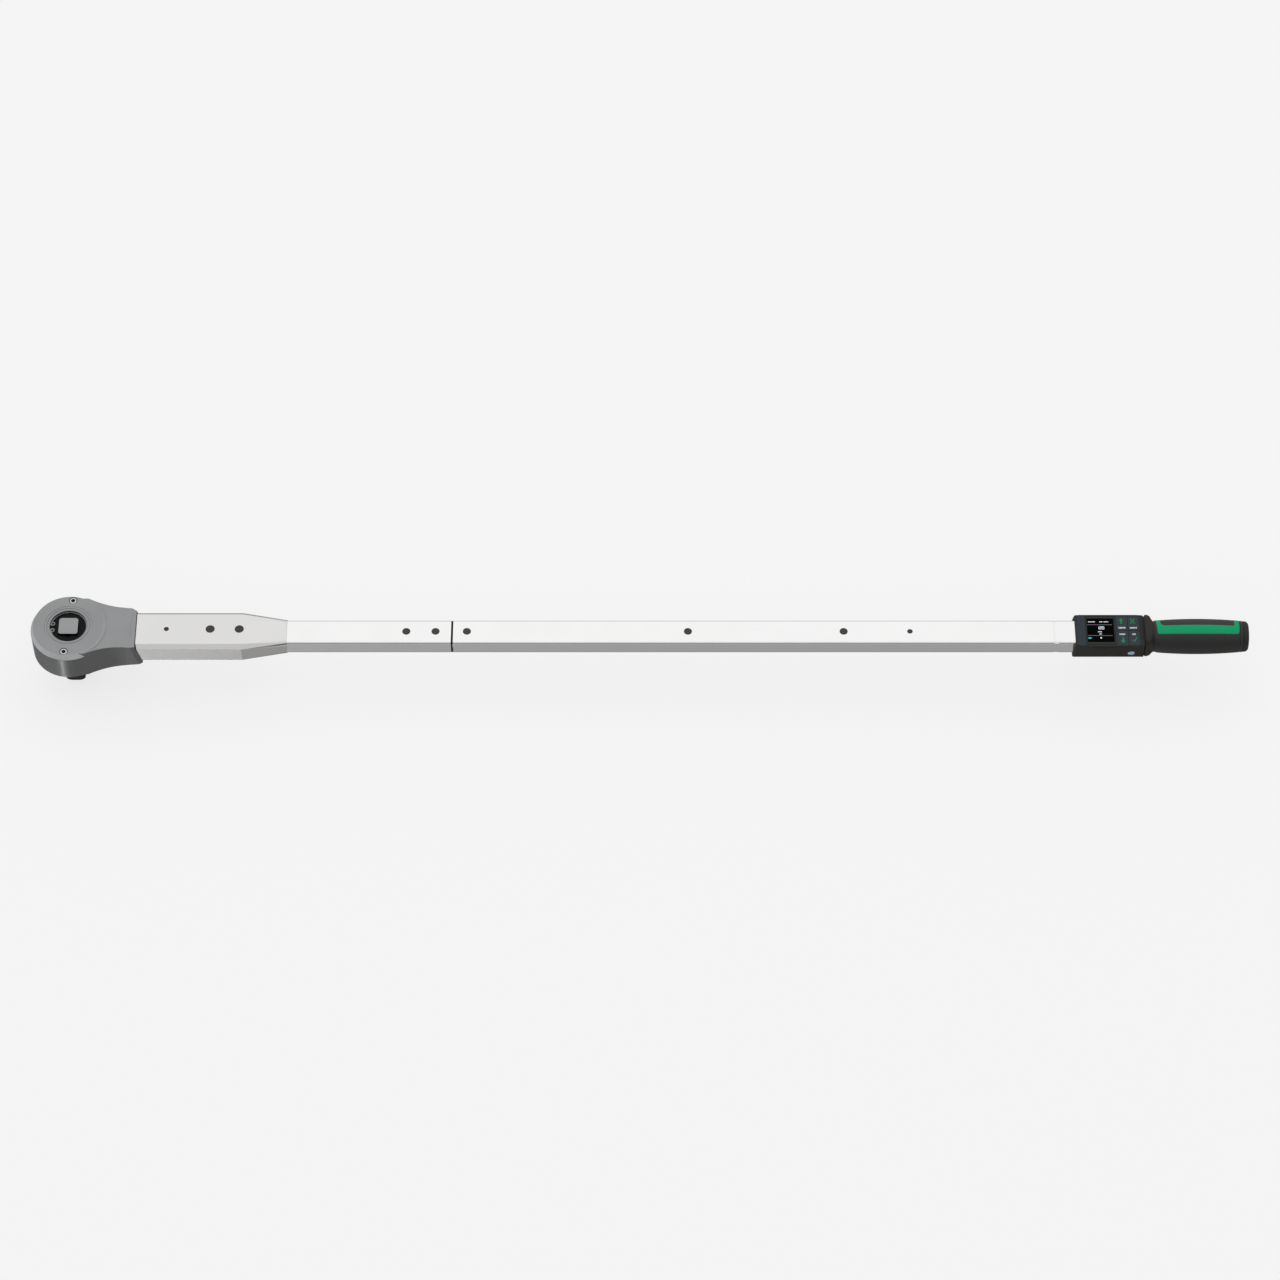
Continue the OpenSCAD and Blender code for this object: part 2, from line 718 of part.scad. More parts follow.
// Blends the housing's end into the round grip
module collar() color([0.10, 0.10, 0.10]) difference() {
  hull() {
    along_x(box_x1 + 0.05, box_x1 + 3.5) {
      translate([0, (panel_z - 0.4) / 2]) round_rect(box_w - 2 * bulge, panel_z - 0.4, 2, $fn = 32);
      for (s = [-1, 1]) translate([s * (belly_y - bulge), belly_z]) circle(belly_r - 0.5, $fn = 32);
    }
    rod_x(grip_x0 - 1.6, grip_x0 - 0.05, 16.4, $fn = 48);
  }
  chassis_slot();
}

module grip_core() color([0.40, 0.40, 0.42]) difference() {
  rod_x(grip_x0, grip_x1, core_r);
  rod_x(bay_x, grip_x1 + 1, bay_r);
  chassis_slot();
}

// Barrel shape of the grip, made smaller by the depth d
module barrel(x0, x1, d) {
  crown = 482;
  turned_x() intersection() {
    translate([0, x0]) square([40, x1 - x0]);
    translate([grip_r - crown - d, 1122]) circle(crown, $fn = 720);
  }
}

// Wedge along X between two angles, measured from +Z towards -Y
module wedge_x(x0, x1, a0, a1) along_x(x0, x1)
  polygon(concat([[0, 0]], [for (a = [a0 : (a1 - a0) / 8 : a1 + 0.01]) 40 * [-sin(a), cos(a)]]));

// Frame of the inlay between two depths: a stripe above and below, and a strip at each end
module inlay_shape(top, d, x0, x1) difference() {
  intersection() {
    difference() {
      barrel(x0, x1, top);
      barrel(x0 - 1, x1 + 1, d);
    }
    wedge_x(x0, x1, -206, 26);
  }
  wedge_x(x0 + 5, x1 - 4.5, -174, -6);
}

module grip_sleeve() color([0.12, 0.12, 0.12]) difference() {
  barrel(grip_x0, grip_x1, 0);
  rod_x(grip_x0 - 1, grip_x1 + 1, core_r + 0.02);
  inlay_shape(-2, inlay_t, inlay_x0, inlay_x1);
}

module grip_inlay() color([0.11, 0.62, 0.42])
  inlay_shape(0, inlay_t - 0.02, inlay_x0 + 0.02, inlay_x1 - 0.02);

module battery_spring() color([0.8, 0.8, 0.8]) spring_x(bay_x + 0.1, cell_x0 - 0.2, 5, 0.5, 4);

module battery_cell() color([0.15, 0.30, 0.60]) {
  rod_x(cell_x0, cell_x0 + cell_len, 9.2);
  rod_x(cell_x0 + cell_len - 1, cell_x0 + cell_len + 1.2, 3);
}

module end_cap() color([0.09, 0.09, 0.09]) difference() {
  union() {
    turned_x() polygon([
      [0, grip_x1 + 0.2], [15.3, grip_x1 + 0.2], [15.3, tool_end_x - 3.4], [14.7, tool_end_x - 1.4],
      [13.2, tool_end_x], [0, tool_end_x]
    ]);
    rod_x(grip_x1 - cap_bore_len, grip_x1 + 1, bay_r - fit);
    rod_x(grip_x1 - cap_bore_len - 1.8, grip_x1, 2.6);
  }
  turned_x() translate([15.9, grip_x1 + 1.6]) circle(0.9);
  turned_x() translate([11.3, grip_x1]) square([1.7, 1.65]);
  translate([tool_end_x, 0, 0]) cube([3, 16, 2], center = true);
}

module cap_seal() color([0.04, 0.04, 0.04])
  turned_x() translate([12.15, grip_x1 + 0.9]) circle(0.68, $fn = 32);

// ---------- Nodes ----------

head_housing();
head_cover();
cover_screws();
ratchet_wheel();
stop_pin();
well_clips();
dust_seals();
drive_square();
socket_ball_low();
socket_ball_high();
ball_spring_low();
ball_spring_high();
pawl();
pawl_spring();
catch_pin();
catch_spring();
catch_plug();
receptacle();
receptacle_pins();
front_tube();
joint_ring();
joiner_core();
rear_tube();
tube_pins();
measuring_beam();
strain_gauges();
signal_cable();
pivot_pin();
trip_lever();
trip_roller();
trip_block();
trip_spring();
spring_seat();
solenoid();
plunger();
chassis();
housing_bottom();
housing_top();
housing_screws();
front_panel();
display_window();
display_module();
main_board();
key_switches();
buzzer();
key_up();
key_cross();
key_down();
key_tick();
signal_lamp();
collar();
grip_core();
grip_sleeve();
grip_inlay();
battery_spring();
battery_cell();
end_cap();
cap_seal();
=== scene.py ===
"""Looks of the electronic torque wrench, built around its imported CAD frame."""
import json
import math

import bmesh
import bpy
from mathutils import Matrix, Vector


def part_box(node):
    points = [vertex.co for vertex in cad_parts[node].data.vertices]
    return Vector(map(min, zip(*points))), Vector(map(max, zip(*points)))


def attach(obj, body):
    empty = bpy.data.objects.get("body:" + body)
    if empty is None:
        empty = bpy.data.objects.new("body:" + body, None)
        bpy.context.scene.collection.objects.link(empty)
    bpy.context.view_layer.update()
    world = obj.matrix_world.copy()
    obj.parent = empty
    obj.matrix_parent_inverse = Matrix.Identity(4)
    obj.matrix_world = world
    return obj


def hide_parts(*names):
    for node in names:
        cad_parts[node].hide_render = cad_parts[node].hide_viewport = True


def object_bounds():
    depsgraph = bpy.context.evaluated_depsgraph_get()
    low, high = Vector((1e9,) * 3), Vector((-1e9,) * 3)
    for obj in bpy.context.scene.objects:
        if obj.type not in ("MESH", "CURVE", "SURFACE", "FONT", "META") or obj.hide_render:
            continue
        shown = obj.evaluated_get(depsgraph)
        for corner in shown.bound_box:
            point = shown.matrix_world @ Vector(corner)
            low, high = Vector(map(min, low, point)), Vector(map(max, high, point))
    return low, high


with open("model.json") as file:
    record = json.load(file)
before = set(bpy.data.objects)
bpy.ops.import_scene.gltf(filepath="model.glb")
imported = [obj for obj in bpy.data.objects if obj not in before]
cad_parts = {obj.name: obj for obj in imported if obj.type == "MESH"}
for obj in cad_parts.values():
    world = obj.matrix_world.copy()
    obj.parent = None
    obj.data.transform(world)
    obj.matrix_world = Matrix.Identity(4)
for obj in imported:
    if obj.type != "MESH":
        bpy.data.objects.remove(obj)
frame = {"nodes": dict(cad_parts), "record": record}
cad_low, cad_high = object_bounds()
nodes = frame["nodes"]
scene = bpy.context.scene
MM = 0.001


# ---------- Camera and stage ----------

TOOL_MIDDLE = Vector((0.568, 0.0, 0.0))
ELEVATION = math.radians(55)
CAMERA_DISTANCE = 4.4
LENS_PER_METRE = 28.21
AIM_DROP = 3.5 * MM


def make_camera():
    data = bpy.data.cameras.new("camera")
    data.sensor_width = 36.0
    data.lens = LENS_PER_METRE * CAMERA_DISTANCE
    data.clip_end = 50.0
    camera = bpy.data.objects.new("camera", data)
    scene.collection.objects.link(camera)
    back = Vector((0, -math.cos(ELEVATION), math.sin(ELEVATION)))
    up = Vector((0, math.sin(ELEVATION), math.cos(ELEVATION)))
    aim = TOOL_MIDDLE - up * AIM_DROP
    camera.location = aim + back * CAMERA_DISTANCE
    camera.rotation_mode = "QUATERNION"
    camera.rotation_quaternion = (-back).to_track_quat("-Z", "Y")
    scene.camera = camera


def new_tree(owner):
    owner.use_nodes = True
    tree = owner.node_tree
    tree.nodes.clear()
    return tree


def add(tree, kind, inputs=None, **settings):
    """A new node; inputs are numbers or other nodes' outputs by socket name or number."""
    node = tree.nodes.new(kind)
    for key, value in settings.items():
        setattr(node, key, value)
    for key, value in (inputs or {}).items():
        if isinstance(value, bpy.types.NodeSocket):
            tree.links.new(value, node.inputs[key])
        else:
            node.inputs[key].default_value = value
    return node


def ramp(tree, value, points, interpolation="EASE"):
    """Level against value, both as plain numbers, for values from -1 to 1."""
    spread = add(tree, "ShaderNodeMapRange", {"Value": value, "From Min": -1.0, "From Max": 1.0})
    node = add(tree, "ShaderNodeValToRGB", {0: spread.outputs[0]})
    node.color_ramp.interpolation = interpolation
    elements = node.color_ramp.elements
    while len(elements) < len(points):
        elements.new(0.5)
    for element, (at, level) in zip(elements, points):
        element.position = (at + 1) / 2
        element.color = (level, level, level, 1)
    return node.outputs[0]


FLOOR_HALF = 8.0
FLOOR_GLOW = 0.73
FLOOR_SHADE = 0.24
FLOOR_GAP = 0.5 * MM


def make_stage():
    """A pale floor that glows, stays out of the tool's reflections and is clear from below."""
    low = cad_low.z - FLOOR_GAP
    bm = bmesh.new()
    corners = [(-1, -1), (1, -1), (1, 1), (-1, 1)]
    bm.faces.new([bm.verts.new((x * FLOOR_HALF + TOOL_MIDDLE.x, y * FLOOR_HALF, low)) for x, y in corners])
    mesh = bpy.data.meshes.new("floor")
    bm.to_mesh(mesh)
    bm.free()
    floor = bpy.data.objects.new("floor", mesh)
    scene.collection.objects.link(floor)
    material = bpy.data.materials.new("floor_paper")
    tree = new_tree(material)
    paper = add(tree, "ShaderNodeBsdfDiffuse", {"Color": (FLOOR_SHADE, FLOOR_SHADE, FLOOR_SHADE, 1)})
    glow = add(tree, "ShaderNodeEmission", {"Strength": FLOOR_GLOW})
    both = add(tree, "ShaderNodeAddShader", {0: paper.outputs[0], 1: glow.outputs[0]})
    below = add(tree, "ShaderNodeNewGeometry")
    clear = add(tree, "ShaderNodeBsdfTransparent")
    one_sided = add(tree, "ShaderNodeMixShader", {
        0: below.outputs["Backfacing"], 1: both.outputs[0], 2: clear.outputs[0]})
    add(tree, "ShaderNodeOutputMaterial", {0: one_sided.outputs[0]})
    mesh.materials.append(material)
    floor.visible_glossy = False
    floor.visible_diffuse = False


def make_world():
    """A white tent with a dark band across its front, and a bright strip low on the left."""
    world = bpy.data.worlds.new("studio")
    scene.world = world
    tree = new_tree(world)
    coord = add(tree, "ShaderNodeTexCoord")
    split = add(tree, "ShaderNodeSeparateXYZ", {0: coord.outputs["Generated"]})
    height = split.outputs["Z"]
    front = ramp(tree, height, [
        (-1, 0.25), (-0.95, 0.35), (-0.80, 0.62), (-0.40, 0.75), (-0.26, 0.25), (-0.2, 0.08), (0.40, 0.09),
        (0.50, 0.80), (0.75, 0.85), (1, 0.85)])
    rear = ramp(tree, height, [
        (-1, 0.20), (-0.6, 0.30), (-0.1, 0.40), (0.25, 0.72), (0.7, 0.80), (1, 0.80)])
    strip = ramp(tree, split.outputs["X"], [
        (-1, 0.8), (-0.36, 0.8), (-0.31, 1.6), (-0.26, 11.0), (-0.22, 1.2), (-0.17, 0.66), (-0.075, 0.62),
        (0, 0.58), (0.1, 0.58), (0.2, 0.6), (1, 0.8)])
    low_part = add(tree, "ShaderNodeMapRange", {
        "Value": height, "From Min": -0.45, "From Max": -0.65, "To Min": 0.0, "To Max": 1.0},
        interpolation_type="SMOOTHSTEP")
    strip_mask = add(tree, "ShaderNodeMix", {
        "Factor": low_part.outputs[0], 6: (1, 1, 1, 1), 7: strip}, data_type="RGBA")
    lit_front = add(tree, "ShaderNodeMix", {"Factor": 1.0, 6: front, 7: strip_mask.outputs[2]},
                    data_type="RGBA", blend_type="MULTIPLY")
    side = add(tree, "ShaderNodeMapRange", {
        "Value": split.outputs["Y"], "From Min": -0.15, "From Max": 0.25}, interpolation_type="SMOOTHSTEP")
    mix = add(tree, "ShaderNodeMix", {
        "Factor": side.outputs[0], 6: lit_front.outputs[2], 7: rear}, data_type="RGBA")
    background = add(tree, "ShaderNodeBackground", {"Color": mix.outputs[2], "Strength": 1.0})
    add(tree, "ShaderNodeOutputWorld", {0: background.outputs[0]})


KEY_LIGHT_WATTS = 2.0
KEY_LIGHT_SIZE = (2.6, 1.6)
KEY_LIGHT_PLACE = (0.3, 1.0, 2.2)


def make_key_light():
    """A large soft light above and behind the tool, turned towards its middle."""
    data = bpy.data.lights.new("key_light", "AREA")
    data.shape = "RECTANGLE"
    data.size, data.size_y = KEY_LIGHT_SIZE
    data.energy = KEY_LIGHT_WATTS
    lamp = bpy.data.objects.new("key_light", data)
    scene.collection.objects.link(lamp)
    lamp.location = KEY_LIGHT_PLACE
    lamp.rotation_mode = "QUATERNION"
    lamp.rotation_quaternion = (TOOL_MIDDLE - lamp.location).to_track_quat("-Z", "Y")


# ---------- Materials ----------

MOTTLE_SCALE = 45.0


def surface(name, color, metallic, roughness, grain=900, rough_spread=0.04, bump=0.01, edge=0.3,
            mottle=0.04, stretch=(1, 1, 1), brightness_by_tilt=None, edge_wear_and_highlight=0.0, specular=0.5, coat=0.0,
            coat_roughness=0.1, sheen=0.0, glow=0.0):
    """A finish with fine grain, slow tone changes, softened edges and, where asked, brighter edges as wear
    and painted highlight.

    The tilt table gives the brightness against how far a face turns up or down. On the head it is painted
    shade on the steep sides and painted highlight on the bevels and the neck's lip; on the drive it darkens
    the sides against the ends.
    """
    material = bpy.data.materials.new(name)
    tree = new_tree(material)
    coord = add(tree, "ShaderNodeTexCoord")
    mapping = add(tree, "ShaderNodeMapping", {0: coord.outputs["Object"], "Scale": stretch})
    fine = add(tree, "ShaderNodeTexNoise", {"Vector": mapping.outputs[0], "Scale": grain, "Detail": 4.0})
    slow = add(tree, "ShaderNodeTexNoise", {
        "Vector": coord.outputs["Object"], "Scale": MOTTLE_SCALE, "Detail": 3.0})
    rough = add(tree, "ShaderNodeMapRange", {
        "Value": fine.outputs["Fac"], "To Min": max(0.02, roughness - rough_spread),
        "To Max": roughness + rough_spread})
    tone = add(tree, "ShaderNodeMapRange", {
        "Value": slow.outputs["Fac"], "From Min": 0.3, "From Max": 0.7, "To Min": 1 - mottle,
        "To Max": 1 + mottle})
    level = tone.outputs[0]

    def times(other):
        return add(tree, "ShaderNodeMath", {0: level, 1: other}, operation="MULTIPLY").outputs[0]

    bevel = add(tree, "ShaderNodeBevel", {"Radius": edge * MM}, samples=6)
    # Brightness by how far a face tilts: on the head this is painted shade and painted highlight.
    if brightness_by_tilt:
        split = add(tree, "ShaderNodeSeparateXYZ", {0: coord.outputs["Normal"]})
        flat = add(tree, "ShaderNodeMath", {0: split.outputs["Z"]}, operation="ABSOLUTE")
        level = times(ramp(tree, flat.outputs[0], brightness_by_tilt, "LINEAR"))
    # Edges made brighter: wear, together with a painted highlight where edges would catch the light.
    if edge_wear_and_highlight:
        geometry = add(tree, "ShaderNodeNewGeometry")
        dot = add(tree, "ShaderNodeVectorMath", {0: bevel.outputs[0], 1: geometry.outputs["Normal"]},
                  operation="DOT_PRODUCT")
        wear_and_highlight = add(tree, "ShaderNodeMapRange", {
            "Value": dot.outputs["Value"], "From Min": 1.0, "From Max": 0.9, "To Min": 1.0,
            "To Max": 1.0 + edge_wear_and_highlight})
        level = times(wear_and_highlight.outputs[0])
    base = add(tree, "ShaderNodeVectorMath", {0: color, "Scale": level}, operation="SCALE")
    relief = add(tree, "ShaderNodeBump", {
        "Strength": 1.0, "Distance": bump * MM, "Height": fine.outputs["Fac"], "Normal": bevel.outputs[0]})
    shader = add(tree, "ShaderNodeBsdfPrincipled", {
        "Base Color": base.outputs[0], "Metallic": metallic, "Roughness": rough.outputs[0],
        "Specular IOR Level": specular, "Coat Weight": coat, "Coat Roughness": coat_roughness,
        "Sheen Weight": sheen,
        "Emission Color": (*color, 1), "Emission Strength": glow, "Normal": relief.outputs[0]})
    add(tree, "ShaderNodeOutputMaterial", {0: shader.outputs[0]})
    return material


# Head: painted shade on the steep sides, painted highlight on the bevels and on the lip at the neck's mouth.
HEAD_PAINTED_SHADE_AND_HIGHLIGHT = [(0, 0.46), (0.30, 0.46), (0.37, 2.6), (0.85, 2.6), (0.92, 1.08), (0.955, 1.08), (0.968, 2.3),
              (0.982, 2.3), (0.988, 1.08), (1, 1.08)]
DRIVE_TONES = [(0, 0.03), (0.5, 0.03), (0.6, 0.7), (0.9, 1.0), (1, 1.0)]
LENGTHWISE = (0.06, 1, 1)

FINISHES = {
    "head_steel": surface("satin_grey_steel", (0.29, 0.295, 0.30), 0.15, 0.45, 2000, 0.05, 0.01, 0.5,
                          brightness_by_tilt=HEAD_PAINTED_SHADE_AND_HIGHLIGHT, edge_wear_and_highlight=0.2, coat=0.8, coat_roughness=0.22),
    "drive_steel": surface("drive_steel", (0.36, 0.365, 0.37), 0.9, 0.40, 1100, 0.06, 0.015, 0.4,
                           brightness_by_tilt=DRIVE_TONES),
    "dark_steel": surface("blackened_steel", (0.08, 0.08, 0.083), 0.8, 0.45, 1100, 0.06, 0.015, 0.3),
    "bright_steel": surface("bright_steel", (0.62, 0.62, 0.63), 1.0, 0.25, 1100, 0.05, 0.01, 0.2),
    "spring_steel": surface("spring_steel", (0.45, 0.45, 0.46), 1.0, 0.32, 900, 0.05, 0.01, 0.1),
    "satin_chrome": surface("satin_chrome", (0.80, 0.795, 0.78), 1.0, 0.30, 1500, 0.04, 0.002, 0.5,
                            stretch=LENGTHWISE, mottle=0.01, edge_wear_and_highlight=0.1),
    "tube_chrome": surface("tube_chrome", (0.95, 0.95, 0.945), 1.0, 0.20, 1500, 0.03, 0.002, 0.3,
                           stretch=LENGTHWISE, mottle=0.01),
    "pin_dark": surface("plug_dark", (0.06, 0.056, 0.052), 0.0, 0.6, 900, 0.08, 0.03, 0.3, specular=0.3),
    "black_rubber": surface("black_rubber", (0.008, 0.008, 0.008), 0.0, 0.65, 1500, 0.06, 0.03, 0.2,
                            specular=0.15),
    "housing_black": surface("housing_black", (0.032, 0.031, 0.027), 0.0, 0.52, 1800, 0.06, 0.04, 0.7,
                             specular=0.22, edge_wear_and_highlight=0.4),
    "panel_slate": surface("panel_slate", (0.033, 0.045, 0.055), 0.0, 0.42, 1800, 0.05, 0.01, 0.3,
                           specular=0.2),
    "key_slate": surface("key_slate", (0.037, 0.050, 0.060), 0.0, 0.42, 1800, 0.05, 0.01, 0.6, specular=0.2,
                         edge_wear_and_highlight=0.3),
    "display_glass": surface("display_glass", (0.001, 0.001, 0.0013), 0.0, 0.25, 400, 0.02, 0.001, 0.2,
                             specular=0.02),
    "board_green": surface("board_green", (0.01, 0.10, 0.03), 0.0, 0.40, 900, 0.05, 0.01, 0.2),
    "component": surface("component_black", (0.03, 0.03, 0.032), 0.0, 0.55, 900, 0.05, 0.01, 0.2,
                         specular=0.3),
    "lamp_lens": surface("lamp_lens", (0.50, 0.68, 0.80), 0.0, 0.18, 600, 0.03, 0.002, 0.3, coat=0.6),
    "grip_black": surface("grip_black", (0.036, 0.035, 0.034), 0.0, 0.55, 2200, 0.08, 0.06, 0.5,
                          specular=0.3, sheen=0.05),
    "grip_green": surface("grip_green", (0.012, 0.40, 0.17), 0.0, 0.50, 2200, 0.07, 0.05, 0.2, mottle=0.03,
                          specular=0.1),
    "copper": surface("copper_brown", (0.16, 0.07, 0.03), 0.7, 0.45, 900, 0.05, 0.01, 0.2),
    "battery_wrap": surface("battery_wrap", (0.03, 0.10, 0.30), 0.0, 0.35, 500, 0.04, 0.005, 0.3),
}
# The clip's edges are brightened strongly: painted highlight for its shine, besides wear.
CLIP_STEEL = surface("clip_steel", (0.22, 0.22, 0.225), 1.0, 0.30, 900, 0.05, 0.005, 0.25, edge_wear_and_highlight=2.5)
INK_WHITE = surface("ink_white", (0.80, 0.80, 0.78), 0.0, 0.5, 1500, 0.05, 0.005, 0.02)
INK_GREEN = surface("ink_green", (0.015, 0.27, 0.09), 0.0, 0.5, 1500, 0.05, 0.005, 0.02, specular=0.2)
LIT_WHITE = surface("lit_white", (0.85, 0.88, 0.90), 0.0, 0.5, 1500, 0.05, 0.001, 0.02, glow=0.35)
LIT_GREY = surface("lit_grey", (0.12, 0.12, 0.15), 0.0, 0.5, 1500, 0.05, 0.001, 0.02, glow=0.3)
LIT_CYAN = surface("lit_cyan", (0.03, 0.45, 0.42), 0.0, 0.5, 1500, 0.05, 0.001, 0.02, glow=0.5)

OWN_FINISHES = {"well_clips": CLIP_STEEL, "catch_pin": FINISHES["pin_dark"]}


def paint_nodes():
    """Gives each CAD node the finish of its slot, or its own finish where it has one."""
    for part in frame["record"]["subparts"]:
        node = nodes[part["node"]]
        node.data.materials.clear()
        node.data.materials.append(OWN_FINISHES.get(part["node"]) or FINISHES[part["material_slot"]])


# ---------- Mesh helpers ----------

def piece(name, bm, body, slot, material=None, replaced=None, smooth=False):
    """Turns mesh data into a piece that rides on a body, in the finish of a slot."""
    bmesh.ops.recalc_face_normals(bm, faces=bm.faces)
    mesh = bpy.data.meshes.new(name)
    bm.to_mesh(mesh)
    bm.free()
    if smooth:
        mesh.shade_smooth()
    mesh.materials.append(material or FINISHES[slot])
    made = bpy.data.objects.new(name, mesh)
    scene.collection.objects.link(made)
    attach(made, body)
    if replaced:
        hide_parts(replaced)
    return made


def join_rings(bm, rings, close_ends=True):
    """Quads between neighbouring closed rings of points.

    The two end rings are each closed by a fan, or else joined to each other.
    """
    loops = [[bm.verts.new(point) for point in ring] for ring in rings]
    count = len(loops[0])
    for a, b in zip(loops, loops[1:]):
        for i in range(count):
            j = (i + 1) % count
            bm.faces.new((a[i], a[j], b[j], b[i]))
    if close_ends:
        for loop in (loops[0], loops[-1]):
            centre = bm.verts.new(sum((v.co for v in loop), Vector()) / count)
            for i in range(count):
                bm.faces.new((loop[i], loop[(i + 1) % count], centre))
    else:
        for i in range(count):
            j = (i + 1) % count
            bm.faces.new((loops[-1][i], loops[-1][j], loops[0][j], loops[0][i]))


def raised(bm, outline, low, high):
    """A flat shape with straight walls between two heights."""
    bottom = [bm.verts.new((x, y, low)) for x, y in outline]
    top = [bm.verts.new((x, y, high)) for x, y in outline]
    bm.faces.new(bottom)
    bm.faces.new(top)
    count = len(outline)
    for i in range(count):
        j = (i + 1) % count
        bm.faces.new((bottom[i], bottom[j], top[j], top[i]))


def bar(start, end, width):
    """Outline of a straight stroke with cut corners."""
    a, b = Vector(start), Vector(end)
    along = (b - a).normalized()
    across = Vector((-along.y, along.x)) * width / 2
    nib = along * min(width * 0.18, (b - a).length * 0.3)
    inner = across * 0.64
    return [tuple(p) for p in (a + nib - across, b - nib - across, b - inner, b + inner, b - nib + across,
                               a + nib + across, a + inner, a - inner)]


INK = 0.03 * MM


# ---------- Screw sockets ----------

SCREW_RADIUS = 3.8 * MM
SOCKET_RADIUS = 2.25 * MM
PLUG_TOP = 0.5 * MM
PLUG_BOTTOM = 2.9 * MM


def make_screw_sockets():
    """Black hexagonal plugs that stand in for the shade inside the cover screws' sockets.

    The plugs' top and bottom are measured down from the top of the screws.
    """
    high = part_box("cover_screws")[1]
    bm = bmesh.new()
    for side in (-1, 1):
        x, y = side * (high.x - SCREW_RADIUS), side * (high.y - SCREW_RADIUS)
        turns = [math.pi * k / 3 for k in range(6)]
        corners = [(x + SOCKET_RADIUS * math.cos(a), y + SOCKET_RADIUS * math.sin(a)) for a in turns]
        raised(bm, corners, high.z - PLUG_BOTTOM, high.z - PLUG_TOP)
    piece("screw_sockets", bm, "frame", "black_rubber")


# ---------- Display ----------

SEGMENTS = {"top": ((0, 1), (1, 1)), "high_left": ((0, 0.5), (0, 1)), "high_right": ((1, 0.5), (1, 1)),
            "middle": ((0, 0.5), (1, 0.5)), "low_left": ((0, 0), (0, 0.5)), "low_right": ((1, 0), (1, 0.5)),
            "bottom": ((0, 0), (1, 0))}
DIGITS = {"0": "top high_left high_right low_left low_right bottom", "1": "high_right low_right",
          "2": "top high_right middle low_left bottom"}


def draw_number(bm, text, left, base, width, height, level):
    """Seven-segment digits in a row, each width wide and height tall."""
    gap = width * 0.45
    for i, digit in enumerate(text):
        x0 = left + i * (width + gap)
        for part in DIGITS[digit].split():
            (ax, ay), (bx, by) = SEGMENTS[part]
            ends = ((x0 + ax * width, base + ay * height), (x0 + bx * width, base + by * height))
            raised(bm, bar(*ends, width * 0.30), level, level + INK)


def dashes(bm, left, right, y, height, count, level):
    """A row of short blocks that stands for a line of small print."""
    pitch = (right - left) / count
    for i in range(count):
        x = left + pitch * (i + 0.5)
        half = pitch * (0.40 if i % 3 else 0.30)
        raised(bm, bar((x - half, y), (x + half, y), height), level, level + INK)


BEZEL_RISE = 0.06 * MM


def make_display():
    """A thin bezel and plain figures, placed by fractions of the window from its top left."""
    low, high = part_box("display_window")
    width, depth, level = high.x - low.x, high.y - low.y, high.z

    def at(u, v):
        return low.x + u * width, high.y - v * depth

    bezel = bmesh.new()
    outer = [at(0.01, 0.01), at(0.99, 0.01), at(0.99, 0.99), at(0.01, 0.99)]
    inner = [at(0.045, 0.08), at(0.955, 0.08), at(0.955, 0.905), at(0.045, 0.905)]
    heights = (level, level + BEZEL_RISE)
    rings = [[(*point, heights[0]) for point in outer], [(*point, heights[1]) for point in outer],
             [(*point, heights[1]) for point in inner], [(*point, heights[0]) for point in inner]]
    join_rings(bezel, rings, close_ends=False)
    piece("display_bezel", bezel, "frame", "housing_black")

    white = bmesh.new()
    for u0, u1, v, count in ((0.09, 0.32, 0.20, 6), (0.47, 0.58, 0.20, 3), (0.61, 0.78, 0.20, 5),
                             (0.40, 0.54, 0.545, 3), (0.45, 0.54, 0.62, 3)):
        (x0, y), (x1, _) = at(u0, v), at(u1, v)
        dashes(white, x0, x1, y, 0.030 * depth, count, level)
    x0, base = at(0.385, 0.455)
    draw_number(white, "120", x0, base, 0.060 * width, 0.085 * depth, level)
    (x0, y), (x1, _) = at(0.475, 0.757), at(0.527, 0.757)
    raised(white, bar((x0, y), (x1, y), 0.05 * depth), level, level + INK)
    piece("display_figures", white, "frame", "lamp_lens", LIT_WHITE)

    grey = bmesh.new()
    for v in (0.30, 0.677):
        raised(grey, bar(at(0.06, v), at(0.90, v), 0.6 * MM), level, level + INK)
    piece("display_lines", grey, "frame", "lamp_lens", LIT_GREY)

    cyan = bmesh.new()
    raised(cyan, bar(at(0.07, 0.762), at(0.165, 0.762), 0.045 * depth), level, level + INK)
    raised(cyan, bar(at(0.168, 0.762), at(0.190, 0.762), 0.022 * depth), level, level + INK)
    piece("display_battery", cyan, "frame", "lamp_lens", LIT_CYAN)


# ---------- Keys ----------

def arrow(bm, x, y, size, up, level):
    way = 1 if up else -1
    head, stem = 0.68 * size, 0.24 * size
    tip, shoulder, tail = y + way * size, y + way * 0.1 * size, y - way * 0.9 * size
    outline = [(x, tip), (x + head, shoulder), (x + stem, shoulder), (x + stem, tail), (x - stem, tail),
               (x - stem, shoulder), (x - head, shoulder)]
    raised(bm, outline, level, level + INK)


